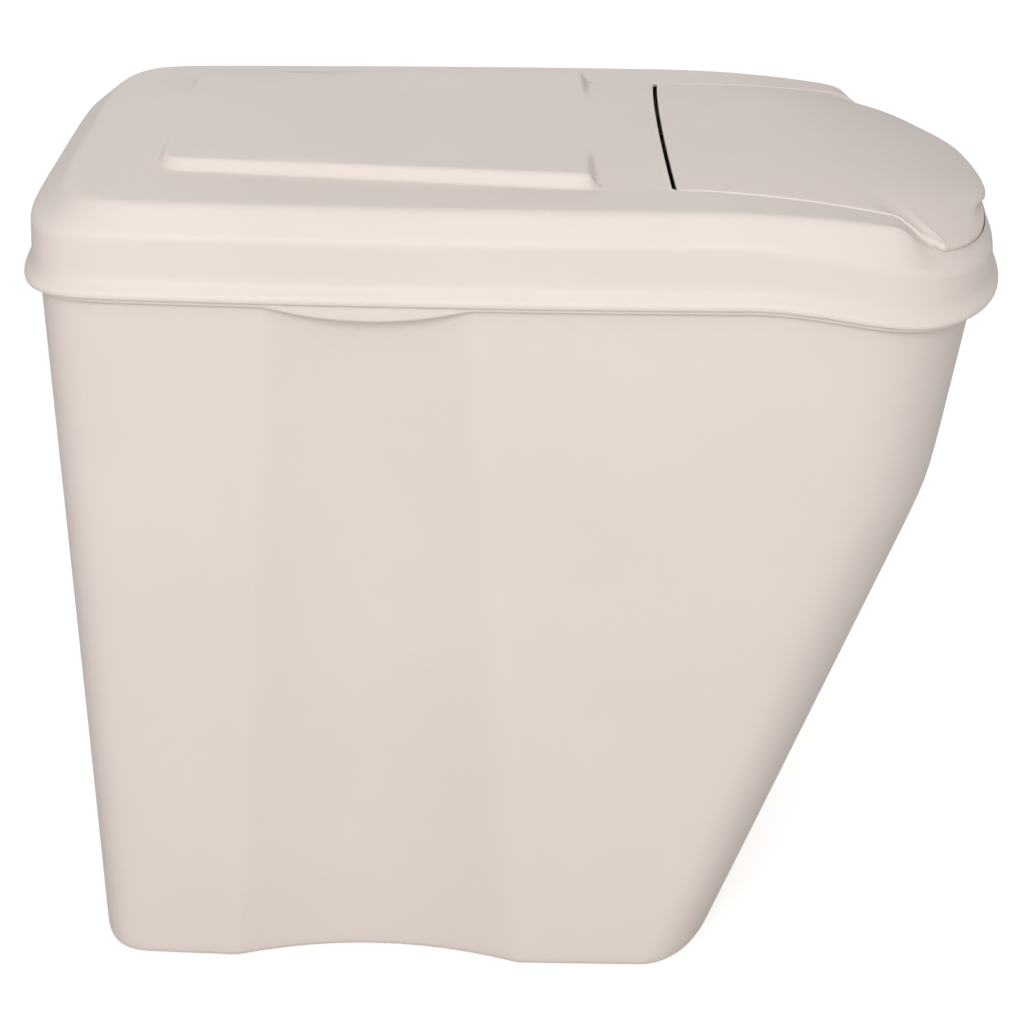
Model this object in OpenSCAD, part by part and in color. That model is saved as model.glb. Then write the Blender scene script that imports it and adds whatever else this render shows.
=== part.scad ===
// Pet food bin: a tapered tub with a sloping front, a lift-off lid and a hinged pour flap.
// Millimetres. +X points to the pouring end, +Z up. The origin is on the floor, under the middle of the lid.

/* [Lid] */
// Length of the lid over its lip
lid_length = 500; // [480:1:520]
// Half width of the lid's lip at the rear end
lid_half_rear = 145; // [140:0.5:150]
// Half width of the lid's lip at the front end
lid_half_front = 148; // [140:0.5:154]
// How far each long side of the lid bows out
side_bow = 8; // [5:0.5:10]
// Height of the lid's lip above the floor
rim_height = 396; // [380:1:410]
// How far the rim dips at the front
rim_dip = 12; // [8:0.5:14]
// How far the lid's shoulder dips at the front
shoulder_dip = 22; // [17:0.5:23]
// Wall thickness of the lid
lid_wall = 2.6; // [2.4:0.1:2.8]

/* [Tub] */
// Wall thickness of the tub
tub_wall = 2.6; // [2:0.1:3]
// Half width of the floor at the rear
base_half_rear = 115; // [110:0.5:118]
// Half width of the floor at the front
base_half_front = 123; // [116:0.5:126]
// Distance from the lid's front end back to the foot of the front wall
front_foot = 130; // [126:1:138]
// Lean of the front wall's lower part, in degrees from upright
front_lean = 20.5; // [19:0.5:22]
// Lean of the front wall under the rim, in degrees from upright
rim_lean = 7.5; // [6:0.5:9]
// Depth of the scallop in each long side at the floor
scallop_depth = 16; // [8:0.5:18]
// How far the finger grip hangs under the rim
grip_drop = 8.5; // [5:0.5:10]

/* [Pour flap] */
// Rise of the flap's middle over its sides
flap_crown = 6.5; // [5:0.5:7]
// Wall thickness of the flap
flap_wall = 2.4; // [2.2:0.1:2.5]
// Radius of the hinge pins
pin_r = 1.5; // [1.3:0.1:1.6]

/* [Pad] */
// Height of the raised pad over the lid's sides
pad_rise = 8.5; // [8:0.5:9]

/* [Hidden] */

$fn = 48;
shell_color = [0.88, 0.85, 0.82];
seal_color = [0.45, 0.44, 0.43];
pin_color = [0.75, 0.73, 0.70];

x_rear = -lid_length / 2;
x_front = lid_length / 2;
z_rim = rim_height;

// Length and power of the lid's superellipse corners
rear_corner = 75;
rear_power = 5.5;
front_corner = 90;
front_power = 2.6;

// Steps round a quarter of an outline and along its side
corner_steps = 12;
side_steps = 16;

// ---------- helpers ----------
function mix(a, b, t) = a + (b - a) * t;
function unit(t) = min(max(t, 0), 1);
function smooth(t) = let(c = unit(t)) c * c * (3 - 2 * c);

// A plan outline is [rear x, front x, rear half width, front half width, bow, rear corner length and power,
// front corner length and power]. Its ends are superellipse corners and its sides bow slightly.
function side_half(o, x) =
    let(m = (x - o[0]) / (o[1] - o[0]))
    mix(o[2], o[3], m) + 4 * o[4] * m * (1 - m);
function end_point(o, x, e) = [x, side_half(o, x) * e];
function half_outline(o) = concat(
    [for (i = [0 : corner_steps - 1])
        let(t = 90 * i / corner_steps)
        end_point(o, o[0] + o[5] * (1 - pow(cos(t), 2 / o[6])), pow(sin(t), 2 / o[6]))],
    [for (i = [0 : side_steps - 1]) end_point(o, mix(o[0] + o[5], o[1] - o[7], i / side_steps), 1)],
    [for (i = [0 : corner_steps])
        let(t = 90 * i / corner_steps)
        end_point(o, o[1] - o[7] * (1 - pow(sin(t), 2 / o[8])), pow(cos(t), 2 / o[8]))]
);
// The lid's lip, moved in by a distance at the sides, the rear and the front
function lip_outline(side, rear, front) = [
    x_rear + rear, x_front - front, lid_half_rear - side, lid_half_front - side, side_bow,
    rear_corner - side / 2, rear_power, front_corner - side / 2, front_power];

// Mirrors a half ring (rear centre to front centre, y >= 0) into a closed ring
function closed(half) = concat(half, [for (i = [len(half) - 2 : -1 : 1]) [half[i][0], -half[i][1], half[i][2]]]);

// Rings of equal length joined into one closed solid. The first ring starts the outside going up.
module loft(rings, capped) {
    n = len(rings[0]);
    m = len(rings);
    last = capped ? m - 2 : m - 1;
    skin = [for (i = [0 : last]) for (j = [0 : n - 1])
        let(a = i * n, b = ((i + 1) % m) * n, k = (j + 1) % n)
        each [[a + j, a + k, b + k], [a + j, b + k, b + j]]];
    caps = capped ? [[for (j = [n - 1 : -1 : 0]) j], [for (j = [0 : n - 1]) (m - 1) * n + j]] : [];
    polyhedron(points = [for (r = rings) each r], faces = concat(skin, caps), convexity = 8);
}

// ---------- rim and shoulder heights ----------
function rim_drop(x) = rim_dip * smooth((x - 110) / 105);
function shoulder_drop(x) = shoulder_dip * smooth((x - 100) / 150);

// Height of the lid's shoulder crease
function crease_z(x) = z_rim + 31 - shoulder_drop(x);

// ---------- tub ----------
floor_wall = 3.5;
wall_inset = 7;
skirt_outer = 3.2;
skirt_inner = 5;
skirt_hang = 2.3;
ledge_top = 2.5;
ledge_under = 0.3;
grip_x = -75;
grip_reach = 50;
scallop_reach = 78;
rear_taper = 10;
rim_kink = 1.5;

// The front wall leans out, then turns up towards the rim
function front_x(z) = let(
    low = x_front - front_foot + tan(front_lean) * z,
    high = x_front - wall_inset - 3 + tan(rim_lean) * (z - z_rim))
    (low + high) / 2 - sqrt(pow((low - high) / 2, 2) + pow(rim_kink, 2));
function tub_outline(z, inset) =
    let(t = unit(z / z_rim))
    [x_rear + wall_inset + rear_taper * (1 - t) + inset, front_x(z) - inset,
     mix(base_half_rear, lid_half_rear - wall_inset, t) - inset,
     mix(base_half_front, lid_half_front - wall_inset, t) - inset,
     mix(3, side_bow, t), mix(40, 70, t) - inset / 2, mix(4, rear_power, t),
     mix(50, 85, pow(t, 1.3)) - inset / 2, mix(2.1, 2.5, t)];
function scallop(x, z) =
    let(t = unit(z / z_rim), u = (x - grip_x) / mix(scallop_reach, grip_reach, t))
    mix(scallop_depth, 0.55 * scallop_depth, t) * max(0, 1 - u * u);
function tub_ring(z, inset) = closed([for (p = half_outline(tub_outline(z, inset)))
    [p[0], max(0, p[1] - (p[1] > 60 ? scallop(p[0], z) : 0)), z - rim_drop(p[0]) * pow(z / z_rim, 6)]]);
function rim_ring(side, rear, front, lift) = closed([for (p = half_outline(lip_outline(side, rear, front)))
    [p[0], p[1], z_rim + lift - rim_drop(p[0])]]);
// Lower edge of the rim's skirt, which hangs further at the finger grips
function grip(x) = (grip_drop - skirt_hang) * max(0, 1 - pow((x - grip_x) / grip_reach, 2));
function skirt_ring(inset) = closed([for (p = half_outline(lip_outline(inset, inset, inset)))
    [p[0], p[1], z_rim - skirt_hang - rim_drop(p[0]) - (p[1] > 60 ? grip(p[0]) : 0)]]);

wall_levels = [40, 90, 140, 190, 235, 262, 280, 300, 340];
module bin_body() {
    top = z_rim + ledge_under;
    outside = [tub_ring(0, 4), tub_ring(4, 0), for (z = wall_levels) tub_ring(z, 0), tub_ring(top, 0)];
    rim = [rim_ring(skirt_inner, skirt_inner, skirt_inner, ledge_under), skirt_ring(skirt_inner),
           skirt_ring(skirt_outer), rim_ring(skirt_outer, skirt_outer, skirt_outer, ledge_top)];
    inside = [tub_ring(z_rim + ledge_top, tub_wall),
              for (i = [len(wall_levels) - 1 : -1 : 0]) tub_ring(wall_levels[i], tub_wall),
              tub_ring(floor_wall + 4, tub_wall), tub_ring(floor_wall, tub_wall + 5)];
    color(shell_color) loft(concat(outside, rim, inside), true);
}

// ---------- surface of the lid and the flap ----------
top_side = z_rim + 46;
flap_x = 79;
hinge_x = 84;
nose_x = x_front - 5.5;
side_fall = 8;
centre_fall = 28;
flap_half_rear = 106;
flap_half_front = 118;
flap_widens = hinge_x + 6;
pad_rear = x_rear + 70;
pad_front = 34;
// Rise of the front of the pour mouth, and of the shoulder just outside it, over the crease
mouth_rise = 9;
shoulder_rise = 6;

function side_z(x) = top_side - side_fall * pow(max(0, x - flap_x) / 105, 2);
function centre_z(x) = top_side + flap_crown - centre_fall * pow(max(0, x - flap_x) / (nose_x - flap_x), 3);
// The flap widens only ahead of its hinge, so that it clears the slot's ends as it opens
function flap_half(x) = mix(flap_half_rear, flap_half_front, pow(max(0, x - flap_widens) / 97, 1.1));
function flap_z(x, y) = side_z(x) + (centre_z(x) - side_z(x)) * (1 - pow(min(1, y / flap_half(x)), 2));
// Arched lid behind the flap, level with the pad along the middle
function arch_z(x, y) = top_side
    + mix(pad_rise, flap_crown, (x - pad_rear) / (flap_x - pad_rear)) * smooth((x - x_rear - 24) / 36)
    * max(0, 1 - pow(y / flap_half_rear, 2));
function pad_z(x) = max(top_side + pad_rise - 1.2 * (x - pad_rear) / (pad_front - pad_rear), arch_z(x, 0));

// ---------- outlines that share one step count ----------
half_steps = 2 * corner_steps + side_steps;
slot_steps = 24;
flap_side_end = 31;
ledge_drop = 5;
ledge_under_drop = ledge_drop + 2.2;
slot_half = 103;
slot_bow = 3;

// Pour mouth in half: slot edge, side line, then the front line inside the lip
function slot_line(y) = flap_x - 7.8 + slot_bow * pow(y / slot_half, 2);
function mouth_line(j) = j <= flap_side_end
    ? let(x = mix(flap_x, x_front - 47, pow(max(0, j - slot_steps) / (flap_side_end - slot_steps), 0.75)))
      [x, flap_half(x)]
    : let(t = mix(28, 90, (j - flap_side_end) / (half_steps - flap_side_end)), o = lip_outline(12.5, 22, 9))
      end_point(o, o[1] - o[7] * (1 - pow(sin(t), 2 / o[8])), pow(cos(t), 2 / o[8]));
function mouth_normal(j) = j >= half_steps ? [1, 0]
    : let(a = mouth_line(max(slot_steps, j - 1)), b = mouth_line(j + 1), d = (b - a) / norm(b - a)) [-d[1], d[0]];
// grow moves the line outwards
function mouth(j, grow) = j < slot_steps
    ? let(y = slot_half * j / (slot_steps - 1)) [slot_line(y) - grow, y]
    : mouth_line(j) + grow * mouth_normal(j);
function low_front(x) = smooth((x - x_front + 70) / 22);
function mouth_z(x) = mix(side_z(x), crease_z(x) + mouth_rise, low_front(x));
function mouth_top(j) = mouth_z(mouth(j, 0)[0]);

// Raised pad in half, widening towards the front and then running on to the slot's ends
pad_corner = corner_steps + 9;
function pad_x(j) = j <= pad_corner
    ? mix(x_rear + 82, pad_front - 2, (j - corner_steps) / (pad_corner - corner_steps))
    : mix(pad_front + 3, flap_x - 5, (j - pad_corner - 1) / (slot_steps - pad_corner - 1));
function pad_half(x) =
    mix(89, 106, (min(x, pad_front) - pad_rear) / (pad_front - pad_rear)) + 8 * smooth((x - pad_front) / 40);
function pad(j, grow) = j < corner_steps
    ? let(t = 90 * j / corner_steps)
      [x_rear + 68 - grow + 14 * (1 - pow(cos(t), 0.5)), (88 + grow) * pow(sin(t), 0.5)]
    : j <= slot_steps
    ? let(x = pad_x(j) + 2.5 * min(0, grow) * (j - corner_steps) / (slot_steps - corner_steps))
      [x, pad_half(x) + grow]
    : let(a = half_outline(lip_outline(12, 22.5, 7))[j], b = mouth(j, 0.4))
      mix(a, b, 0.4 - grow / 5);

function lid_ring(side, rear, front, lift) = rim_ring(side, rear, front, lift);
function crease_ring(inset, lift) = closed([for (p = half_outline(lip_outline(inset, inset, inset)))
    [p[0], p[1], crease_z(p[0]) + lift]]);
function shoulder_ring(side, rear, front, lift) = closed([for (p = half_outline(lip_outline(side, rear, front)))
    [p[0], p[1], mix(side_z(p[0]), crease_z(p[0]) + shoulder_rise, low_front(p[0])) + lift]]);
function pad_ring(grow, raised, lift) = closed([for (j = [0 : half_steps])
    let(p = pad(j, grow))
    [p[0], p[1], (j > slot_steps ? mouth_z(p[0]) - 0.5 + grow / 4
        : raised && j <= pad_corner ? pad_z(p[0]) : arch_z(p[0], p[1])) + lift]]);
// Ring between the pad's outline and the slot, at one x on the pad's length
function across_ring(x, share, raised, lift, grow) = closed([for (j = [0 : half_steps])
    let(a = pad(j, grow), b = mouth(j, 0.4),
        t = j <= pad_corner ? (x - a[0]) / (b[0] - a[0]) : share * min(1, (j - pad_corner) / 3),
        p = mix(a, b, t))
    [p[0], p[1], (j > slot_steps ? mouth_z(p[0]) - 0.2
        : raised && j <= pad_corner ? pad_z(x) : arch_z(p[0], p[1])) + lift]]);
function mouth_ring(grow, slot_grow, slot_drop, drop) = closed([for (j = [0 : half_steps])
    let(rear = j < slot_steps, p = mouth(j, rear ? slot_grow : grow))
    [p[0], p[1], rear ? arch_z(p[0], p[1]) - slot_drop : mouth_top(j) - beside_hinge(j, slot_drop, drop)]]);
// The mouth's wall and ledge are shallow beside the hinge, so that the pins pass under them
function beside_hinge(j, shallow, deep) = mix(shallow, deep, smooth((j - slot_steps) / 2));
// The ledge reaches inwards only where the wall is already deep
function ledge_reach(j) = mix(-0.2, -7.8, smooth((j - slot_steps - 1) / 2));
function ledge_ring(drop, slot_drop) = closed([for (j = [0 : half_steps])
    let(rear = j < slot_steps, p = mouth(j, rear ? 0.3 : ledge_reach(j)))
    [p[0], p[1], rear ? arch_z(p[0], p[1]) - slot_drop : mouth_top(j) - beside_hinge(j, slot_drop, drop)]]);
// Underside of the lid's top, from the mouth (share 0) out to the shoulder (share 1)
function front_share(x) = smooth((x - x_front + 84) / 30);
function under_ring(share) = closed([for (j = [0 : half_steps])
    let(low = front_share(mouth(j, 0)[0]),
        a = mouth(j, j < slot_steps ? 5 : mix(lid_wall, -3, low)),
        s = half_outline(lip_outline(mix(15.5, 14, low), 25, 9.5))[j],
        p = mix(a, s, share))
    [p[0], p[1], mix(arch_z(p[0], p[1]) + side_z(p[0]) - top_side - lid_wall, crease_z(p[0]) - 1, low)]]);
function under_wall_ring() = closed([for (j = [0 : half_steps])
    let(rear = j < slot_steps, low = front_share(mouth(j, 0)[0]),
        p = mouth(j, rear ? 4 : mix(lid_wall - 0.3, -3.5, low)))
    [p[0], p[1], rear ? arch_z(p[0], p[1]) - lid_wall
        : mouth_top(j) - mix(beside_hinge(j, lid_wall, ledge_under_drop), ledge_under_drop + 0.1, low)]]);
// Underside following the pad where there is one
function follow(pad_points, share) = let(u = under_ring(share), n = len(u))
    [for (i = [0 : n - 1]) min(i, n - i) <= slot_steps ? pad_points[i] : u[i]];

hinge_z = top_side - 4.5;
boss_start = 106.9;
boss_length = 6;

module lid_shell() {
    w = lid_wall;
    loft([
        lid_ring(0, 0, 0, 0), lid_ring(0, 0, 0, 3), lid_ring(4, 4, 3.5, 10), crease_ring(4.5, 0),
        shoulder_ring(13, 22.5, 7, 0), pad_ring(1.5, false, 0), pad_ring(0, true, 0),
        across_ring(pad_front - 1, 0.3, true, 0, 0), across_ring(pad_front + 1.5, 0.5, false, 0, 0),
        mouth_ring(0.4, 0.6, 0, 0), mouth_ring(0.3, 0.5, 1, ledge_drop),
        ledge_ring(ledge_drop, 1.15), ledge_ring(ledge_under_drop, 1.3),
        under_wall_ring(), under_ring(0), follow(across_ring(pad_front - 2.5, 0.2, false, -w, -2), 0.2),
        follow(across_ring(pad_front - 5, 0.1, true, -w, -2), 0.3), follow(pad_ring(-2, true, -w), 0.4),
        follow(pad_ring(-1.4, false, -w), 0.5), under_ring(1),
        crease_ring(7.1, -1.5), lid_ring(6.6, 6.6, 6.6, 10),
        lid_ring(9.2, 9.2, 9.2, 8), lid_ring(9.2, 9.2, 9.2, 5), lid_ring(2.6, 2.6, 2.6, 5), lid_ring(2.6, 2.6, 2.6, 0)
    ], false);
}
module hinge_boss() {
    translate([hinge_x - 5, boss_start, hinge_z - 4.2]) cube([10, boss_length, 6.4]);
}
module pin_bore() {
    translate([hinge_x, boss_start - 2, hinge_z]) rotate([-90, 0, 0]) cylinder(r = pin_r, h = boss_length + 1);
}
module lid() {
    color(shell_color) difference() {
        union() {
            lid_shell();
            hinge_boss();
            mirror([0, 1, 0]) hinge_boss();
        }
        pin_bore();
        mirror([0, 1, 0]) pin_bore();
    }
}

// ---------- pour flap ----------
flap_gap = 0.4;
slot_gap = 1.8;
flap_centre = 150;
running_gap = 0.05;
knuckle_r = 2.6;
knuckle_start = 95;
knuckle_length = 8;

// Gap beside the flap, wider at its rear corners, which swing past the ends of the slot
function side_gap(x) = flap_gap + 0.4 * (1 - smooth((x - hinge_x) / 40));

// Upper edge of the flap: slot side, side line, then the rounded nose
function nose(j, inset) = j < slot_steps + 5
    ? (j < slot_steps ? let(p = mouth(j, 0)) [p[0] + slot_gap + inset, min(p[1], slot_half - inset)]
      : let(x = mix(flap_x + 0.5 + inset, flap_centre, (j - slot_steps) / 4)) [x, flap_half(x) - side_gap(x) - inset])
    : let(t = 90 * (j - slot_steps - 4) / (half_steps - slot_steps - 4),
          x = flap_centre + (nose_x - inset - flap_centre) * pow(sin(t), 0.93))
      [x, (min(113.5, flap_half(x)) - flap_gap - inset) * pow(cos(t), 0.93)];
// Lower edge of the flap, which laps down the lid's shoulder in front
function apron(j, inset) = j < slot_steps
    ? let(p = mouth(j, 0)) [p[0] + slot_gap + inset, min(p[1], slot_half - inset)]
    : let(p = mouth(j, -side_gap(mouth_line(j)[0]) - inset)) [max(p[0], flap_x + inset), p[1]];
function apron_ring(inset, slot_drop, lift) = closed([for (j = [0 : half_steps])
    let(p = apron(j, inset), low = low_front(mouth(j, 0)[0]))
    [p[0], p[1], j < slot_steps ? flap_z(p[0], p[1]) - slot_drop
                 : mouth_top(j) + mix(-slot_drop, flap_gap + lift, low)]]);
function nose_ring(inset, slot_drop, front_drop) = closed([for (j = [0 : half_steps])
    let(p = nose(j, inset), low = low_front(p[0]))
    [p[0], p[1], flap_z(p[0], p[1]) - mix(slot_drop, front_drop, low)]]);
function inner_ring(scale, drop) = closed([for (j = [0 : half_steps])
    let(p = nose(j, 1), x = mix(flap_centre, p[0], scale), y = p[1] * scale)
    [x, y, flap_z(x, y) - drop]]);
// Small round facet in the middle of the flap that closes its surface
centre_r = 4;
function centre_ring(drop) = [for (p = inner_ring(0.3, drop))
    let(d = [p[0] - flap_centre, p[1]], e = centre_r * d / norm(d), t = (e[0] + centre_r) / (2 * centre_r))
    [flap_centre + e[0], e[1], mix(flap_z(flap_centre - centre_r, 0), flap_z(flap_centre + centre_r, 0), t) - drop]];

module flap_shell() {
    w = flap_wall;
    loft([
        centre_ring(w), inner_ring(0.3, w), inner_ring(0.6, w), inner_ring(0.85, w), nose_ring(9, w, w),
        apron_ring(2.4, w, 0.2), apron_ring(0, w - 0.2, 0), apron_ring(0.2, 1.4, 2.5), nose_ring(1.5, 1.1, 4.5),
        nose_ring(0, 0.7, 2.2), nose_ring(1, 0, 0),
        inner_ring(0.85, 0), inner_ring(0.6, 0), inner_ring(0.3, 0), centre_ring(0)
    ], true);
}
module knuckle() {
    difference() {
        union() {
            translate([hinge_x, knuckle_start, hinge_z]) rotate([-90, 0, 0])
                cylinder(r = knuckle_r, h = knuckle_length);
            translate([hinge_x - knuckle_r, knuckle_start, hinge_z])
                cube([2 * knuckle_r, knuckle_length, 3.8]);
        }
        translate([hinge_x, knuckle_start - 1, hinge_z]) rotate([-90, 0, 0])
            cylinder(r = pin_r + running_gap, h = knuckle_length + 2);
    }
}
module pour_flap() {
    color(shell_color) {
        flap_shell();
        knuckle();
        mirror([0, 1, 0]) knuckle();
    }
}

// ---------- hinge pins ----------
module hinge_pin() {
    translate([hinge_x, knuckle_start, hinge_z]) rotate([-90, 0, 0])
        cylinder(r = pin_r, h = boss_start + boss_length - 1 - knuckle_start);
}
module hinge_pins() {
    color(pin_color) {
        hinge_pin();
        mirror([0, 1, 0]) hinge_pin();
    }
}

// ---------- seals ----------
module lid_seal() {
    color(seal_color) loft([
        rim_ring(8.4, 8.4, 8.4, 2.7), rim_ring(4.6, 4.6, 4.6, 2.7),
        rim_ring(4.6, 4.6, 4.6, 4.8), rim_ring(8.4, 8.4, 8.4, 4.8)
    ], false);
}
seal_inner = 6.8;
seal_outer = 4.4;
seal_top = 3.5;
seal_bottom = 4.4;
// Strip along both sides and the front of the pour mouth
function seal_half(inset, drop) = [for (j = [slot_steps + 3 : half_steps])
    let(p = mouth(j, -inset)) [p[0], p[1], mouth_top(j) - drop]];
function seal_row(inset, drop) =
    let(h = seal_half(inset, drop))
    concat(h, [for (i = [len(h) - 2 : -1 : 0]) [h[i][0], -h[i][1], h[i][2]]]);
module flap_seal() {
    rows = [seal_row(seal_inner, seal_top), seal_row(seal_outer, seal_top),
            seal_row(seal_outer, seal_bottom), seal_row(seal_inner, seal_bottom)];
    n = len(rows[0]);
    color(seal_color) loft([for (j = [0 : n - 1]) [for (r = [0 : 3]) rows[r][j]]], true);
}

bin_body();
lid();
pour_flap();
hinge_pins();
lid_seal();
flap_seal();
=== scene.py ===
"""Pet food bin: the moulded shells of the tub, the lid and the pour flap, with the materials, the studio and
the camera. The hinge pins and the two seals are the CAD's own nodes. Shapes are chains of rings, worked out
in millimetres in the frame of the CAD part, and turned to metres in make()."""

import math
from collections import namedtuple

import bpy
import bmesh
import numpy as np
from mathutils import Matrix, Vector


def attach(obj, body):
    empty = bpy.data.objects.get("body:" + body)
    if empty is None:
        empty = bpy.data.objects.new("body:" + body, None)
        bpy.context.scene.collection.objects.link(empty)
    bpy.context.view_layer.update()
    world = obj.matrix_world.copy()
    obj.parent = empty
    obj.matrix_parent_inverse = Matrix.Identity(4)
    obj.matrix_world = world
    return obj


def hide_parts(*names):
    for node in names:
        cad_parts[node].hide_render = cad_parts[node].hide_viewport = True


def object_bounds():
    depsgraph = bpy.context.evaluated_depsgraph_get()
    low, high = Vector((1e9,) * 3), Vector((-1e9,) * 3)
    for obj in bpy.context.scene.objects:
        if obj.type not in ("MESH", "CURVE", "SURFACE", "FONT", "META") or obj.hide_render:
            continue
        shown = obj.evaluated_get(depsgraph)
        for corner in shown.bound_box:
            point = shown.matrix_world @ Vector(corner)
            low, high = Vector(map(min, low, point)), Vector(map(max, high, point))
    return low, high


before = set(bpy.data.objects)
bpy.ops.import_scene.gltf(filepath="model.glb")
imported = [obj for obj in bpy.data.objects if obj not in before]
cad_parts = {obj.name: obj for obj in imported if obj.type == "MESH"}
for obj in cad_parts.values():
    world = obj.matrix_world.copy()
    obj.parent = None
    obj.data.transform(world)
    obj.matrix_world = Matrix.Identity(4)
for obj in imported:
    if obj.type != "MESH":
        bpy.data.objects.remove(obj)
cad_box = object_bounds()

# ---------------------------------------------------------------- dimensions, in millimetres
# The lid's lip seen from above: length, half widths, bow of the sides, and the corners' lengths and powers
X_REAR, X_FRONT = -250.0, 250.0
LID_HALF_REAR, LID_HALF_FRONT, SIDE_BOW = 145.0, 148.0, 8.0
REAR_CORNER, REAR_POWER, FRONT_CORNER, FRONT_POWER = 75.0, 5.5, 90.0, 2.6

# Heights: the tub's rim, the crease above the lip, and the level top, and the first two's dip at the front
Z_RIM = 396.0
CREASE, TOP = Z_RIM + 31.0, Z_RIM + 46.0
RIM_DIP, RIM_DIP_START, RIM_DIP_LENGTH = 12.0, 110, 105
SHOULDER_DIP, SHOULDER_DIP_START, SHOULDER_DIP_LENGTH = 22.0, 100, 150
MOUTH_RISE, SHOULDER_RISE = 9.0, 6.0

# Walls
LID_WALL, FLAP_WALL, TUB_WALL = 2.6, 2.4, 2.6

# Tub: the wall's inset from the lip, the leaning front, the base, the finger grips and the scallops
WALL_INSET, FRONT_FOOT, RIM_KINK, REAR_TAPER = 7.0, 130.0, 1.5, 10.0
FRONT_LEAN, RIM_LEAN = math.tan(math.radians(20.5)), math.tan(math.radians(7.5))
BASE_HALF_REAR, BASE_HALF_FRONT, BASE_BOW, BASE_CENTRE_X = 115.0, 123.0, 3, -60
BASE_REAR_CORNER, BASE_REAR_POWER, BASE_FRONT_CORNER, BASE_FRONT_POWER = 40, 4, 50, 2.1
RIM_REAR_CORNER, RIM_FRONT_CORNER, RIM_FRONT_POWER = 70, 85, 2.5
GRIP_X, GRIP_REACH, GRIP_HANG = -75.0, 50.0, 6.2
SCALLOP_REACH, SCALLOP_DEPTH, RIM_SCALLOP_SHARE = 78.0, 16.0, 0.55
MIDDLE_HALF = 60

# Raised pad on the lid
PAD_REAR, PAD_FRONT, PAD_FOOT_REAR = X_REAR + 70, 34.0, X_REAR + 82
PAD_HALF_REAR, PAD_HALF_FRONT, PAD_SPREAD = 89, 106, 8
PAD_RISE, PAD_FALL, PAD_CORNER_R, PAD_EDGE_R = 8.5, 1.2, 14.0, 4.0

# Pour mouth, slot behind the flap, and the ledge inside the mouth
SLOT_HALF, SLOT_BOW, SLOT_BACK = 103.0, 3.0, 7.8
MOUTH_SIDE_END = X_FRONT - 47
LEDGE_DROP, LEDGE_THICK, LEDGE_WIDTH = 5.0, 2.2, 7.8

# Pour flap: its rear and front, half widths, crown, and how far its sides and centre fall towards the front
FLAP_X, NOSE_X, FLAP_CENTRE = 79.0, X_FRONT - 5.5, 150.0
FLAP_HALF_REAR, FLAP_HALF_FRONT, NOSE_HALF = 106.0, 118.0, 113.5
CROWN, SIDE_FALL, SIDE_FALL_LENGTH, CENTRE_FALL = 6.5, 8.0, 105, 28.0
GAP, REAR_GAP, SLOT_GAP = 0.3, 0.4, 1.8

# Hinge
HINGE_X, HINGE_Z, PIN_R, PIN_PLAY = 84.0, TOP - 4.5, 1.5, 0.05
BOSS_START, BOSS_LENGTH, BOSS_R, BOSS_WEB = 106.9, 6.0, 4.2, 2.4
KNUCKLE_START, KNUCKLE_LENGTH, KNUCKLE_R, KNUCKLE_WEB = 95.0, 8.0, 2.6, 3.2


# ---------------------------------------------------------------- helpers
def mix(a, b, t):
    """The value at a share t of the way from a to b."""
    return a + (b - a) * t


def unit(t):
    return np.clip(t, 0, 1)


def smooth(t):
    t = unit(t)
    return t * t * (3 - 2 * t)


def eased(u, power):
    """A share from 0 to 1 that is slower at both ends as the power grows."""
    return u**power / (u**power + (1 - u) ** power)


# Every ring has the same steps J: up to REAR_END round the rear corner, up to SIDE_END along the side, and up
# to STEPS round the front corner. The pad's front corner is at PAD_CORNER, the slot ends at SLOT_END, and the
# mouth's side line ends at SIDE_LINE_END.
REAR_END, PAD_CORNER, SLOT_END, SIDE_END, SIDE_LINE_END, STEPS = 12, 21, 24, 28, 31, 40
J = np.round(np.arange(0, STEPS + 0.001, 0.2), 4)
SLOT_CORNER = np.searchsorted(J, SLOT_END)
REAR_T = np.radians(90 * eased(unit(J / REAR_END), 2.3))
FRONT_U = unit((J - SIDE_END) / (STEPS - SIDE_END))
FRONT_T = np.radians(90 * eased(FRONT_U, 1.35))
SIDE_T = unit((J - REAR_END) / (SIDE_END - REAR_END))

Outline = namedtuple(
    "Outline", "rear front half_rear half_front bow rear_corner rear_power front_corner front_power"
)


def side_half(shape, x):
    """Half width of an outline at x, leaving out its corners."""
    along = (x - shape.rear) / (shape.front - shape.rear)
    return mix(shape.half_rear, shape.half_front, along) + 4 * shape.bow * along * (1 - along)


def outline(shape):
    """Half an outline, from the rear centre to the front centre."""
    rear_power, front_power = 2 / shape.rear_power, 2 / shape.front_power
    rear_x = shape.rear + shape.rear_corner * (1 - np.cos(REAR_T) ** rear_power)
    side_x = mix(shape.rear + shape.rear_corner, shape.front - shape.front_corner, SIDE_T)
    nose_x = shape.front - shape.front_corner * (1 - np.sin(FRONT_T) ** front_power)
    x = np.where(J < REAR_END, rear_x, np.where(J < SIDE_END, side_x, nose_x))
    front_share = np.where(J < SIDE_END, 1, np.cos(FRONT_T) ** front_power)
    share = np.where(J < REAR_END, np.sin(REAR_T) ** rear_power, front_share)
    share[-1] = 0
    return np.stack([x, side_half(shape, x) * share], 1)


def ring(xy, z):
    return np.stack([xy[:, 0], xy[:, 1], z + 0 * xy[:, 0]], 1)


def closed(half):
    """Mirrors a half ring into a closed ring."""
    back = half[-2:0:-1].copy()
    back[:, 1] *= -1
    return np.concatenate([half, back])


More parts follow.
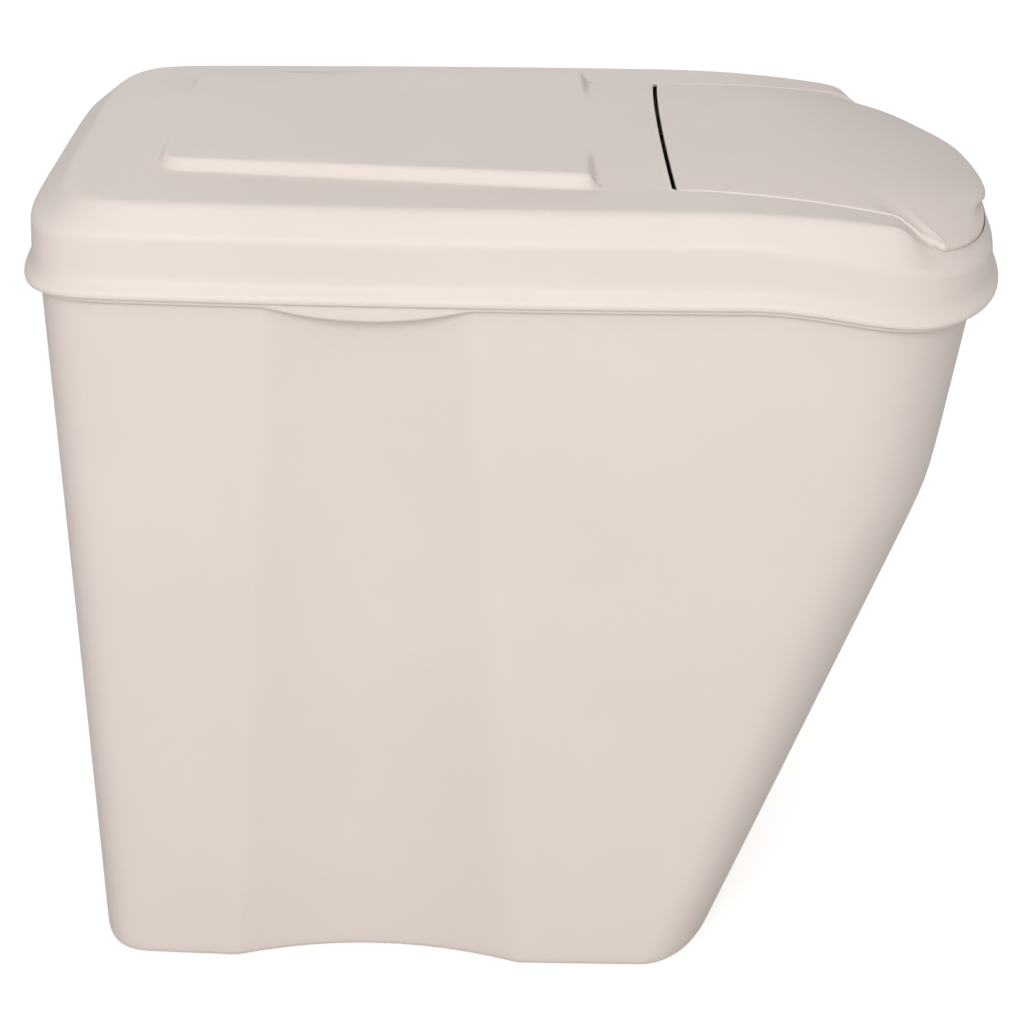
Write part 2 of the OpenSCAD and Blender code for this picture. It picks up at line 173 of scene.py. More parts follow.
def fillet(rings, cuts, steps):
    """Rounds the chain of rings at each ring whose cut is above 0, with a support ring on either side."""
    out = []
    longest, support = 0.42, 1.15
    for i, (corner, cut) in enumerate(zip(rings, cuts)):
        if not cut or i in (0, len(rings) - 1):
            out.append(corner)
            continue
        before, after = rings[i - 1] - corner, rings[i + 1] - corner
        length_before = np.linalg.norm(before, axis=1, keepdims=True) + 1e-9
        length_after = np.linalg.norm(after, axis=1, keepdims=True) + 1e-9
        start = corner + before / length_before * np.minimum(cut, longest * length_before)
        end = corner + after / length_after * np.minimum(cut, longest * length_after)
        out.append(corner + (start - corner) * support)
        for t in np.linspace(0, 1, steps):
            out.append((1 - t) ** 2 * start + 2 * t * (1 - t) * corner + t * t * end)
        out.append(corner + (end - corner) * support)
    return out


def loft(rings, kind, base):
    """Points and faces of a chain of rings, numbered from base. Kind "loop" joins the last ring to the first,
    and "caps" closes both ends with fans."""
    size, count = len(rings[0]), len(rings)
    points, faces = list(rings), []
    here = np.arange(size)
    after = (here + 1) % size
    for i in range(count if kind == "loop" else count - 1):
        a, b = base + i * size, base + ((i + 1) % count) * size
        faces += np.stack([a + here, a + after, b + after, b + here], 1).tolist()
    if kind == "caps":
        for number, (end, flip) in enumerate(((0, True), (count - 1, False))):
            points.append(rings[end].mean(0, keepdims=True))
            first, centre = base + end * size, base + count * size + number
            fan = np.stack([first + here, first + after, np.full(size, centre)], 1)
            faces += (fan[:, ::-1] if flip else fan).tolist()
    return points, faces


def make(name, parts, body, node):
    """One object from lofts, given as (rings, kind). It rides on a body and replaces a CAD node."""
    points, faces, base = [], [], 0
    for rings, kind in parts:
        more_points, more_faces = loft(rings, kind, base)
        points += more_points
        faces += more_faces
        base += sum(len(p) for p in more_points)
    mesh = bpy.data.meshes.new(name)
    mesh.from_pydata((np.concatenate(points) / 1000).tolist(), [], faces)
    mesh.validate()
    bm = bmesh.new()
    bm.from_mesh(mesh)
    bmesh.ops.recalc_face_normals(bm, faces=bm.faces)
    bm.to_mesh(mesh)
    bm.free()
    mesh.polygons.foreach_set("use_smooth", [True] * len(mesh.polygons))
    mesh.update()
    obj = bpy.data.objects.new(name, mesh)
    bpy.context.scene.collection.objects.link(obj)
    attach(obj, body)
    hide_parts(node)
    return obj


# ---------------------------------------------------------------- heights shared by the pieces
def lip_shape(side, rear, front):
    return Outline(
        X_REAR + rear, X_FRONT - front, LID_HALF_REAR - side, LID_HALF_FRONT - side, SIDE_BOW,
        REAR_CORNER - side / 2, REAR_POWER, FRONT_CORNER - side / 2, FRONT_POWER,
    )


def lip(side, rear=None, front=None):
    """The lid's lip, moved in by a distance at the sides, the rear and the front."""
    rear = side if rear is None else rear
    front = side if front is None else front
    return outline(lip_shape(side, rear, front))


def rim_drop(x):
    return RIM_DIP * smooth((x - RIM_DIP_START) / RIM_DIP_LENGTH)


def crease_z(x):
    return CREASE - SHOULDER_DIP * smooth((x - SHOULDER_DIP_START) / SHOULDER_DIP_LENGTH)


def side_z(x):
    """Height of the top along the flap's sides."""
    return TOP - SIDE_FALL * (np.maximum(0, x - FLAP_X) / SIDE_FALL_LENGTH) ** 2


def centre_z(x):
    """Height of the flap along its middle."""
    return TOP + CROWN - CENTRE_FALL * (np.maximum(0, x - FLAP_X) / (NOSE_X - FLAP_X)) ** 3


def flap_half(x):
    """Half width of the flap, which widens only ahead of its hinge."""
    start, length = HINGE_X + 6, 97
    return mix(FLAP_HALF_REAR, FLAP_HALF_FRONT, (np.maximum(0, x - start) / length) ** 1.1)


def flap_z(x, y):
    across = np.minimum(1, np.abs(y) / flap_half(x))
    return side_z(x) + (centre_z(x) - side_z(x)) * (1 - across**2)


def arch_z(x, y):
    """Height of the lid's arched top, which the pad stands on."""
    rear_end, rear_length = X_REAR + 24, 36
    along = (x - PAD_REAR) / (FLAP_X - PAD_REAR)
    rise = mix(PAD_RISE, CROWN, along) * smooth((x - rear_end) / rear_length)
    return TOP + rise * np.maximum(0, 1 - (y / FLAP_HALF_REAR) ** 2)


def pad_z(x, y):
    """Height of the pad. Its front edge fades into the arch towards the middle."""
    along = (x - PAD_REAR) / (PAD_FRONT - PAD_REAR)
    level = np.maximum(TOP + PAD_RISE - PAD_FALL * along, arch_z(x, 0 * x))
    edge = smooth((np.abs(y) - 35) / 50)
    return mix(arch_z(x, y), level, mix(1, edge, smooth((x + 20) / 46)))


def low_front(x):
    """0 behind the front corners, 1 round the front, where the top falls to just above the crease."""
    return smooth((x - X_FRONT + 70) / 22)


# ---------------------------------------------------------------- tub
# Heights of the wall's rings, closest together where the front wall turns up
LEVELS = [
    8, 16, 28, 44, 64, 86, 110, 134, 158, 182, 206, 226,
    242, 254, 264, 272, 280, 288, 298, 310, 326, 346, 366, 382,
]
# Rounded foot, outside and inside: height and inset from the wall
FOOT = [(0, 4.6), (0.15, 3.6), (0.6, 2.3), (1.4, 1.2), (2.6, 0.45), (4.2, 0.1)]
FLOOR = [(6.5, 0.3), (4.9, 1.4), (3.9, 3), (3.5, 5)]
# Rolled rim: inset from the lip, height above the rim, and share of the finger grip's hang
ROLL = [
    (5, 0.3, 0), (5, -2.1, 1), (4.7, -2.35, 1), (4.1, -2.45, 1), (3.5, -2.3, 1),
    (3.2, -1.7, 1), (3.2, -1.0, 0.85), (3.2, 1.9, 0), (3.5, 2.4, 0), (4.1, 2.6, 0),
]


def front_x(z):
    """The front wall leans out, then turns up towards the rim."""
    low = X_FRONT - FRONT_FOOT + FRONT_LEAN * z
    high = X_FRONT - WALL_INSET - 3 + RIM_LEAN * (z - Z_RIM)
    return (low + high) / 2 - math.sqrt(((low - high) / 2) ** 2 + RIM_KINK**2)


def tub_ring(z, inset):
    """Ring of the tub's wall, with the scallop in each long side."""
    t = min(max(z / Z_RIM, 0), 1)
    p = outline(Outline(
        rear=X_REAR + WALL_INSET + REAR_TAPER * (1 - t) + inset,
        front=front_x(z) - inset,
        half_rear=mix(BASE_HALF_REAR, LID_HALF_REAR - WALL_INSET, t) - inset,
        half_front=mix(BASE_HALF_FRONT, LID_HALF_FRONT - WALL_INSET, t) - inset,
        bow=mix(BASE_BOW, SIDE_BOW, t),
        rear_corner=mix(BASE_REAR_CORNER, RIM_REAR_CORNER, t) - inset / 2,
        rear_power=mix(BASE_REAR_POWER, REAR_POWER, t),
        front_corner=mix(BASE_FRONT_CORNER, RIM_FRONT_CORNER, t**1.3) - inset / 2,
        front_power=mix(BASE_FRONT_POWER, RIM_FRONT_POWER, t),
    ))
    u = (p[:, 0] - GRIP_X) / mix(SCALLOP_REACH, GRIP_REACH, t)
    depth = mix(SCALLOP_DEPTH, RIM_SCALLOP_SHARE * SCALLOP_DEPTH, t)
    scoop = depth * np.maximum(0, 1 - u * u) * (p[:, 1] > MIDDLE_HALF)
    p[:, 1] = np.maximum(0, p[:, 1] - scoop)
    return closed(ring(p, z - rim_drop(p[:, 0]) * (z / Z_RIM) ** 6))


def rim_ring(inset, lift, grip):
    p = lip(inset)
    u = (p[:, 0] - GRIP_X) / GRIP_REACH
    hang = grip * np.maximum(0, 1 - u**2) * (p[:, 1] > MIDDLE_HALF)
    return closed(ring(p, Z_RIM + lift - rim_drop(p[:, 0]) - hang))


def shrunk(points, share):
    """A ring of the base drawn in towards the middle of the base."""
    return points * [share, share, 1] + [BASE_CENTRE_X * (1 - share), 0, 0]


def tub_rings():
    outside = [tub_ring(z, inset) for z, inset in FOOT]
    outside += [tub_ring(z, 0) for z in LEVELS + [Z_RIM - 2]]
    rim = [tub_ring(Z_RIM + 0.3, 0)]
    rim += [rim_ring(inset, lift, share * GRIP_HANG) for inset, lift, share in ROLL]
    inside = [tub_ring(Z_RIM + 2.6, TUB_WALL - 0.6), tub_ring(Z_RIM + 2.0, TUB_WALL)]
    inside += [tub_ring(z, TUB_WALL) for z in LEVELS[::-1]]
    inside += [tub_ring(z, TUB_WALL + inset) for z, inset in FLOOR]
    floor_rings = [shrunk(inside[-1], share) for share in (0.9, 0.6, 0.3)]
    under = [shrunk(outside[0], share) for share in (0.3, 0.6, 0.9)]
    return under + outside + rim + inside + floor_rings


tub = make("tub", [(tub_rings(), "caps")], "tub", "bin_body")

# ---------------------------------------------------------------- pour mouth
FRONT_MOUTH = lip_shape(12.5, 22, 9)
FRONT_MOUTH_START = 28


def slot_line(y):
    """The slot's edge, bowed towards the front at its ends."""
    return FLAP_X - SLOT_BACK + SLOT_BOW * (y / SLOT_HALF) ** 2


def mouth_line(j):
    """The mouth's outline ahead of the slot: beside the flap, then round the front inside the lip."""
    j = np.asarray(j, float)
    along = np.maximum(0, j - SLOT_END) / (SIDE_LINE_END - SLOT_END)
    x = mix(FLAP_X, MOUTH_SIDE_END, along**0.75)
    side = np.stack([x, flap_half(x)], -1)
    turn = unit((j - SIDE_LINE_END) / (STEPS - SIDE_LINE_END))
    t = np.radians(mix(FRONT_MOUTH_START, 90, turn))
    power = 2 / FRONT_MOUTH.front_power
    x = FRONT_MOUTH.front - FRONT_MOUTH.front_corner * (1 - np.sin(t) ** power)
    share = np.where(j >= STEPS, 0, np.cos(t))
    front = np.stack([x, side_half(FRONT_MOUTH, x) * np.maximum(share, 0) ** power], -1)
    return np.where((j <= SIDE_LINE_END)[..., None], side, front)


def behind_slot_end(rear, ahead):
    """A ring that follows rear behind the slot's end and ahead in front of it."""
    corner = unit(J - SLOT_END + 1)[:, None]
    return np.where((J < SLOT_END)[:, None], mix(rear, ahead[SLOT_CORNER][None], corner), ahead)


def mouth(grow, slot_grow=0.0):
    """The mouth's outline moved outwards by grow, and its slot edge moved back by slot_grow."""
    before, after = mouth_line(np.maximum(SLOT_END, J - 0.4)), mouth_line(np.minimum(STEPS, J + 0.4))
    along = (after - before) / (np.linalg.norm(after - before, axis=1, keepdims=True) + 1e-9)
    normal = np.stack([-along[:, 1], along[:, 0]], 1)
    normal[-1] = [1, 0]
    grow = np.broadcast_to(np.asarray(grow, float), J.shape)[:, None]
    moved = mouth_line(J) + grow * normal
    moved[-1, 1] = 0
    y = SLOT_HALF * unit(J / (SLOT_END - 1))
    return behind_slot_end(np.stack([slot_line(y) - slot_grow, y], 1), moved)


MOUTH_X = mouth(0)[:, 0]
MOUTH_LOW = low_front(MOUTH_X)
MOUTH_TOP = mix(side_z(MOUTH_X), crease_z(MOUTH_X) + MOUTH_RISE, MOUTH_LOW)
SHOULDER = lip(13, 22.5, 7)
SHOULDER_X = SHOULDER[:, 0]
SHOULDER_Z = mix(side_z(SHOULDER_X), crease_z(SHOULDER_X) + SHOULDER_RISE, low_front(SHOULDER_X))
# Shares that change along a ring: past the slot's end, down and out to the ledge, and round the front
SLOT_BLEND = smooth(J - SLOT_END + 1)
SHALLOW = smooth((J - SLOT_END) / 2)
LEDGE_REACH = smooth((J - SLOT_END - 1) / 2)
FRONT_SHARE = smooth((MOUTH_X - X_FRONT + 84) / 30)

# ---------------------------------------------------------------- raised pad
# Distance inside the pad's foot, and share of its rise: a hollow foot, a steep face and a rounded edge
PAD_FACE_D = [-1.6, -0.9, -0.3, 0.4, 2.2, 2.8, 3.5, 4.4, 5.6]
PAD_FACE_RISE = [0, 0.02, 0.09, 0.26, 0.80, 0.91, 0.97, 0.995, 1]
# Distances outside the pad's foot at which rings run round the pad
PAD_GROWS = [5, 3.2, 2.2, 1.6, 1.2, 0.8, 0.4, 0, -0.5, -1.1, -1.7, -2.2, -2.8, -3.5, -4.5]
PAD_TOP_GROW = -4.5


def pad_half(x):
    """Half width of the pad, which widens towards the front and then runs on to the slot's ends."""
    along = (np.minimum(x, PAD_FRONT) - PAD_REAR) / (PAD_FRONT - PAD_REAR)
    return mix(PAD_HALF_REAR, PAD_HALF_FRONT, along) + PAD_SPREAD * smooth((x - PAD_FRONT) / 40)


def pad_line(grow, share):
    """The pad's outline moved outwards, running on past its front corner to the slot's ends. Beside the flap
    it lies at a share of the way from the shoulder to the mouth."""
    corner_start = 0.35
    turn = np.radians(90 * unit((J / REAR_END - corner_start) / (1 - corner_start)))
    straight = (pad_half(PAD_FOOT_REAR) - PAD_CORNER_R) * unit(J / REAR_END / corner_start)
    radius = PAD_CORNER_R + grow
    rear = np.stack([PAD_FOOT_REAR - radius * np.cos(turn), straight + radius * np.sin(turn)], 1)
    side_x = mix(PAD_FOOT_REAR, PAD_FRONT - 2, (J - REAR_END) / (PAD_CORNER - REAR_END))
    ahead = np.maximum(0, J - PAD_CORNER) / (SLOT_END - PAD_CORNER)
    x = np.where(J <= PAD_CORNER, side_x, mix(PAD_FRONT - 2, FLAP_X - 5, ahead**1.15))
    line = np.where((J < REAR_END)[:, None], rear, np.stack([x, pad_half(x) + grow], 1))
    beside = smooth((J - SLOT_END + 0.4) / 1.6)[:, None]
    return mix(line, mix(SHOULDER, mouth(0.4), share), beside)


def pad_share(grow):
    """Share of the way from the shoulder to the mouth that goes with a distance outside the pad."""
    return 0.6 - 0.3 * (grow - PAD_TOP_GROW) / 11.5


def lid_top(p, side_d, share):
    """Height of the lid's upper surface. side_d is how far the ring lies inside the pad's foot, and share is
    how far the ring has come from the shoulder to the mouth, beside the flap."""
    x, y = p[:, 0], p[:, 1]
    front_d = (PAD_FRONT + 1.6) - x
    reach = PAD_EDGE_R + 1.5
    d = reach - np.hypot(np.maximum(reach - side_d, 0), np.maximum(reach - front_d, 0))
    d = np.where(J < PAD_CORNER + 1.5, d, PAD_FACE_D[0] - 1)
    base = arch_z(x, y)
    top = base + np.interp(d, PAD_FACE_D, PAD_FACE_RISE) * (pad_z(x, y) - base)
    beside = mix(SHOULDER_Z, MOUTH_TOP, share)
    return mix(top, beside, smooth((J - SLOT_END + 0.6) / 1.2))


def pad_ring(grow):
    p = pad_line(grow, pad_share(grow))
    return ring(p, lid_top(p, -grow, pad_share(grow)))


def across_ring(x, share, order):
    """Ring between the pad's outline and the slot, at one x on the pad's length."""
    a, b = pad_line(PAD_TOP_GROW, 0.6), mouth(0.4, 0.5)
    reach = (x - a[:, 0]) / np.where(b[:, 0] > a[:, 0] + 1, b[:, 0] - a[:, 0], 1e9)
    late = share * unit((J - PAD_CORNER) / 3)
    early = (1 - unit((J - PAD_CORNER) / 2)) * reach
    t = np.where(J <= PAD_CORNER + 0.01, reach, np.maximum(late, early))
    t = np.clip(t, 0.0006 * (order + 1), 1)
    p = mix(a, b, t[:, None])
    return ring(p, lid_top(p, np.full(len(J), 9.0), 0.6 + 0.4 * t))


# ---------------------------------------------------------------- lid
# Rolled lip from underneath, round its widest line and up: inset and height above the rim
LIP_PROFILE = [
    (2.6, 1.2), (2.35, 0.45), (1.8, 0.05), (1.1, 0.0), (0.5, 0.35), (0.12, 1.05), (0, 1.9), (0.1, 2.8),
    (0.5, 3.8), (1.1, 4.9), (1.8, 6.0), (2.45, 7.2), (3.05, 8.6), (3.5, 10.2), (3.8, 12.2), (3.97, 14.8),
]
# Where rings cross the top between the pad's rear and the slot, closest together on the pad's front face
CROSSINGS = [
    -140, -90, -40, 0, 18, 26, 29.5, 30.6, 31.4, 32.1, 32.7, 33.3,
    33.9, 34.5, 35.1, 35.7, 36.3, 37, 38, 40, 46, 54, 62, 67,
]


def lip_ring(inset, lift, front=None):
    p = lip(inset, inset, inset if front is None else front)
    return ring(p, Z_RIM + lift - rim_drop(p[:, 0]))


def crease_ring(inset, lift):
    p = lip(inset)
    return ring(p, crease_z(p[:, 0]) + lift)


def mouth_z(p, slot_drop, drop):
    """Height at a drop below the mouth's edge, with its own drop along the slot."""
    ahead = MOUTH_TOP - mix(slot_drop, drop, SHALLOW)
    return mix(arch_z(p[:, 0], p[:, 1]) - slot_drop, ahead, SLOT_BLEND)


def mouth_ring(grow, slot_grow, slot_drop, drop):
    p = mouth(grow, slot_grow)
    return ring(p, mouth_z(p, slot_drop, drop))


def ledge_ring(drop, slot_drop):
    """Inner edge of the ledge, which only reaches in ahead of the hinge."""
    p = mix(mouth(0.3, 0.5), mouth(-LEDGE_WIDTH, 0.5), LEDGE_REACH[:, None])
    return ring(p, mouth_z(p, slot_drop, drop))


def wall_ring():
    """Foot of the mouth's wall, where the ledge's underside meets it."""
    p = mix(mouth(LID_WALL - 0.3, 4), mouth(-3.5, 4), FRONT_SHARE[:, None])
    under = LEDGE_DROP + LEDGE_THICK
    drop = mix(mix(LID_WALL, under, SHALLOW), under + 0.1, FRONT_SHARE)
    return ring(p, mix(arch_z(p[:, 0], p[:, 1]) - LID_WALL, MOUTH_TOP - drop, SLOT_BLEND))


def under_ring(share, pad=None):
    """Ring of the lid's underside, at a share of the way from the mouth to the lip. pad gives the points and
    the share of the pad's rise for the part of the ring under the pad."""
    front = FRONT_SHARE[:, None]
    start = mix(mouth(LID_WALL, 5), mouth(-3, 5), front)
    p = mix(start, mix(lip(15.5, 25, 9.5), lip(14, 25, 9.5), front), share)
    x, y = p[:, 0], p[:, 1]
    flat = ring(p, mix(arch_z(x, y) + side_z(x) - TOP - LID_WALL, crease_z(x) - 1, FRONT_SHARE))
    if pad is None:
        return flat
    q, rise = pad
    x, y = q[:, 0], q[:, 1]
    own = ring(q, arch_z(x, y) + rise * (pad_z(x, y) - arch_z(x, y)) - LID_WALL)
    return mix(own, flat, smooth(J - SLOT_END + 1)[:, None])


def under_pad(grow, rise):
    """Points under the pad's outline, and the share of its rise that they follow."""
    p = pad_line(grow, 0.6)
    forward = 5 * unit((J - REAR_END) / 9) * (J < SLOT_END)
    p = np.stack([p[:, 0] - forward, p[:, 1]], 1)
    return p, np.where(J <= PAD_CORNER + 0.01, rise, 0)


def under_across(x, share, rise):
    """As under_pad(), for a ring that crosses the underside at one x."""
    a, lift = under_pad(PAD_TOP_GROW, rise)
    b = mouth(0.4, 0.5)
    beside = share * unit((J - PAD_CORNER) / 3)
    t = np.where(J <= PAD_CORNER + 0.01, unit((x - a[:, 0]) / (b[:, 0] - a[:, 0])), beside)
    return mix(a, b, t[:, None]), lift


def lid_rings():
    lower = [lip_ring(inset, lift, inset * 0.95) for inset, lift in LIP_PROFILE]
    crease = crease_ring(4.5, 0)
    upper = [lower[-1], mix(lower[-1], crease, 0.55), crease, ring(SHOULDER, SHOULDER_Z), pad_ring(7)]
    top = lower[:-1] + fillet(upper, [0, 0, 3.0, 4.2, 0], 7)[:-1]
    top += [pad_ring(grow) for grow in PAD_GROWS]
    top += [across_ring(x, 0.05 + 0.87 * i / len(CROSSINGS), i) for i, x in enumerate(CROSSINGS)]
    edge = [
        mouth_ring(0.9, 1.3, 0.0, 0.0),
        mouth_ring(0.5, 0.85, 0.03, 0.04),
        mouth_ring(0.3, 0.6, 0.14, 0.14),
        mouth_ring(0.2, 0.5, 0.4, 0.4),
        mouth_ring(0.2, 0.5, 0.9, LEDGE_DROP - 0.2),
    ]
    ledge = [ledge_ring(LEDGE_DROP, 1.15), ledge_ring(LEDGE_DROP + LEDGE_THICK, 1.3), wall_ring()]
    under = [
        under_ring(0),
        under_ring(0.2, under_across(PAD_FRONT - 2.5, 0.2, 0.0)),
        under_ring(0.3, under_across(PAD_FRONT - 5, 0.1, 1.0)),
        under_ring(0.4, under_pad(-4.0, 1.0)),
        under_ring(0.5, under_pad(-3.2, 0.0)),
        under_ring(1),
    ]
    skirt = [crease_ring(7.1, -1.5), lip_ring(6.6, 10)]
    skirt += [lip_ring(9.2, 8), lip_ring(9.2, 5), lip_ring(2.6, 5)]
    return [closed(half) for half in top + edge + ledge + under + skirt]


def hinge_eye(start, length, radius, web, bore, side):
    """An eye round the hinge axis: a barrel whose upper half squares up into the panel above it."""
    points, end_scale, chamfer = 48, 0.88, 0.4
    angle = np.linspace(0, 2 * math.pi, points, endpoint=False)
    up = np.sin(angle)
    lift = np.where(up > 0, web * np.abs(up) ** 0.35, radius * up)
    outer = np.stack([radius * np.cos(angle), lift], 1)
    inner = bore * np.stack([np.cos(angle), np.sin(angle)], 1)
    end = start + length

    def at(section, y, scale=1.0):
        x, z = HINGE_X + scale * section[:, 0], HINGE_Z + scale * section[:, 1]
        return np.stack([x, np.full(points, side * y), z], 1)

    barrel = [at(outer, start, end_scale), at(outer, start + chamfer), at(outer, end - chamfer)]
    return [at(inner, start)] + barrel + [at(outer, end, end_scale), at(inner, end)]


bosses = [
    (hinge_eye(BOSS_START, BOSS_LENGTH, BOSS_R, BOSS_WEB, PIN_R, side), "loop")
    for side in (1, -1)
]
lid = make("lid_shell", [(lid_rings(), "loop")] + bosses, "lid", "lid")

# ---------------------------------------------------------------- pour flap
# Shares that change along a ring: round the nose, and along the bead beside the flap's seam
NOSE_LOW = smooth((J - 34.4) / 2.8)
BEAD = smooth((J - SLOT_END + 0.8) / 1.2) * (1 - smooth((J - SIDE_LINE_END + 0.2) / 0.8))
# Flap's edge from its underside up: inset, drop along the slot, lift round the front, and height of the bead
EDGE_PROFILE = [
    (2.4, FLAP_WALL, -1.9, 0), (0.4, FLAP_WALL, -2.1, 0), (0.1, FLAP_WALL - 0.3, -1.9, 0),
    (0, FLAP_WALL - 0.8, -1.4, 0), (0, 0.6, 0.6, 0.2), (0.12, 0.25, 1.6, 0.45), (0.4, 0.1, 2.0, 0.6),
    (0.75, 0.04, 2.4, 0.6), (1.1, 0.02, 2.8, 0.4), (1.5, 0.0, 3.2, 0.1), (1.9, 0.0, 3.6, 0.0),
]
# Rounded nose from its lower edge up: inset at the sides, inset round the front, and drop round the front
NOSE_PROFILE = [
    (2.2, 2.0, 5.0), (2.3, 0.9, 3.9), (2.4, 0.25, 3.0), (2.5, 0.0, 2.2), (2.6, 0.1, 1.4),
    (2.7, 0.5, 0.75), (2.8, 1.1, 0.3), (2.9, 2.0, 0.06), (3.1, 3.1, 0),
]


def side_gap(x):
    """Gap beside the flap, wider at its rear corners, which swing past the ends of the slot."""
    return GAP + REAR_GAP * (1 - smooth((x - HINGE_X) / 40))


def slot_side(inset):
    """The flap's rear edge, along the slot."""
    y = SLOT_HALF * unit(J / (SLOT_END - 1))
    return np.stack([slot_line(y) + SLOT_GAP + inset, np.minimum(y, SLOT_HALF - inset)], 1)


def nose(inset):
    """The flap's outline with its rounded nose."""
    power = 0.93
    t = np.radians(90 * eased(FRONT_U, 1.1))
    x = FLAP_CENTRE + (NOSE_X - inset - FLAP_CENTRE) * np.sin(t) ** power
    across = np.cos(t)
    across[-1] = 0
    front = np.stack([x, (np.minimum(NOSE_HALF, flap_half(x)) - GAP - inset) * across**power], 1)
    x = mix(FLAP_X + 0.5 + inset, FLAP_CENTRE, (J - SLOT_END) / (SIDE_END - SLOT_END))
    side = np.stack([x, flap_half(x) - side_gap(x) - inset], 1)
    return behind_slot_end(slot_side(inset), np.where((J < SIDE_END)[:, None], side, front))


def apron(inset):
    """The flap's outline where it lies in the mouth."""
    p = mouth(-side_gap(MOUTH_X) - inset)
    p[:, 0] = np.maximum(p[:, 0], FLAP_X + inset)
    return behind_slot_end(slot_side(inset), p)


def apron_ring(inset, slot_drop, lift, bead):
    p = apron(inset)
    front = MOUTH_TOP + mix(-slot_drop, GAP + lift, MOUTH_LOW)
    z = mix(flap_z(p[:, 0], p[:, 1]) - slot_drop, front, SLOT_BLEND)
    return ring(p, z + bead * BEAD)


def nose_ring(side_in, front_in, side_drop, front_drop):
    p = mix(nose(side_in), nose(front_in), NOSE_LOW[:, None])
    return ring(p, flap_z(p[:, 0], p[:, 1]) - mix(side_drop, front_drop, NOSE_LOW))


def inner_ring(scale, drop, inset=3.4):
    """Ring of the flap drawn in towards the flap's middle."""
    p = nose(inset)
    q = np.stack([mix(FLAP_CENTRE, p[:, 0], scale), p[:, 1] * scale], 1)
    return ring(q, flap_z(q[:, 0], q[:, 1]) - drop)


def soft_corners(rings, before, roll, after):
    """Turns the overhanging nose, towards the flap's corners, into one soft roll from the top to the edge."""
    out = []
    for i, sharp in enumerate(rings):
        t = (i + 1) / (len(rings) + 1)
        soft = (1 - t) ** 2 * before + 2 * t * (1 - t) * roll + t * t * after
        out.append(mix(soft, sharp, NOSE_LOW[:, None]))
    return out


def flap_rings():
    under = [inner_ring(scale, FLAP_WALL, 9) for scale in (0.03, 0.2, 0.4, 0.6, 0.8, 0.93)]
    under.append(nose_ring(9, 9, FLAP_WALL, FLAP_WALL))
    side = [apron_ring(*row) for row in EDGE_PROFILE]
    front = [nose_ring(side_in, front_in, 0, drop) for side_in, front_in, drop in NOSE_PROFILE]
    front += [inner_ring(scale, 0) for scale in (0.985, 0.96, 0.92, 0.86)]
    top = [inner_ring(scale, 0) for scale in (0.78, 0.68, 0.56, 0.44, 0.32, 0.2, 0.1, 0.03)]
    front = soft_corners(front, side[-1], nose_ring(2.6, 2.6, 0, 0), top[0])
    return [closed(half) for half in under + side + front + top]


knuckle_bore = PIN_R + PIN_PLAY
knuckles = [
    (hinge_eye(KNUCKLE_START, KNUCKLE_LENGTH, KNUCKLE_R, KNUCKLE_WEB, knuckle_bore, side), "loop")
    for side in (1, -1)
]
flap = make("flap_shell", [(flap_rings(), "caps")] + knuckles, "flap", "pour_flap")


# ---------------------------------------------------------------- materials
class Shader:
    """Short calls for the nodes that a moulded plastic needs."""

    def __init__(self, tree):
        self.nodes, self.links = tree.nodes, tree.links
        self.nodes.clear()
        self.place = self.nodes.new("ShaderNodeTexCoord").outputs["Object"]

    def noise(self, scale, detail, roughness=0.55):
        node = self.nodes.new("ShaderNodeTexNoise")
        node.inputs["Scale"].default_value = scale
        node.inputs["Detail"].default_value = detail
        node.inputs["Roughness"].default_value = roughness
        self.links.new(self.place, node.inputs["Vector"])
        return node.outputs[0]

    def span(self, source, low, high, source_low=0.3, source_high=0.7):
        """Maps source from its own span to low to high."""
        node = self.nodes.new("ShaderNodeMapRange")
        node.inputs["From Min"].default_value = source_low
        node.inputs["From Max"].default_value = source_high
        node.inputs["To Min"].default_value = low
        node.inputs["To Max"].default_value = high
        self.links.new(source, node.inputs["Value"])
        return node.outputs[0]

    def shade(self, colour, factor):
        """Multiplies a colour by a factor."""
        node = self.nodes.new("ShaderNodeMixRGB")
        node.blend_type = "MULTIPLY"
        node.inputs[0].default_value = 1.0
        self.links.new(colour, node.inputs[1])
        self.links.new(factor, node.inputs[2])
        return node.outputs[0]

    def add(self, first, second):
        node = self.nodes.new("ShaderNodeMath")
        node.operation = "ADD"
        self.links.new(first, node.inputs[0])
        self.links.new(second, node.inputs[1])
        return node.outputs[0]

    def bump(self, height, strength, distance, normal=None):
        node = self.nodes.new("ShaderNodeBump")
        node.inputs["Strength"].default_value = strength
        node.inputs["Distance"].default_value = distance
        self.links.new(height, node.inputs["Height"])
        if normal:
            self.links.new(normal, node.inputs["Normal"])
        return node.outputs[0]


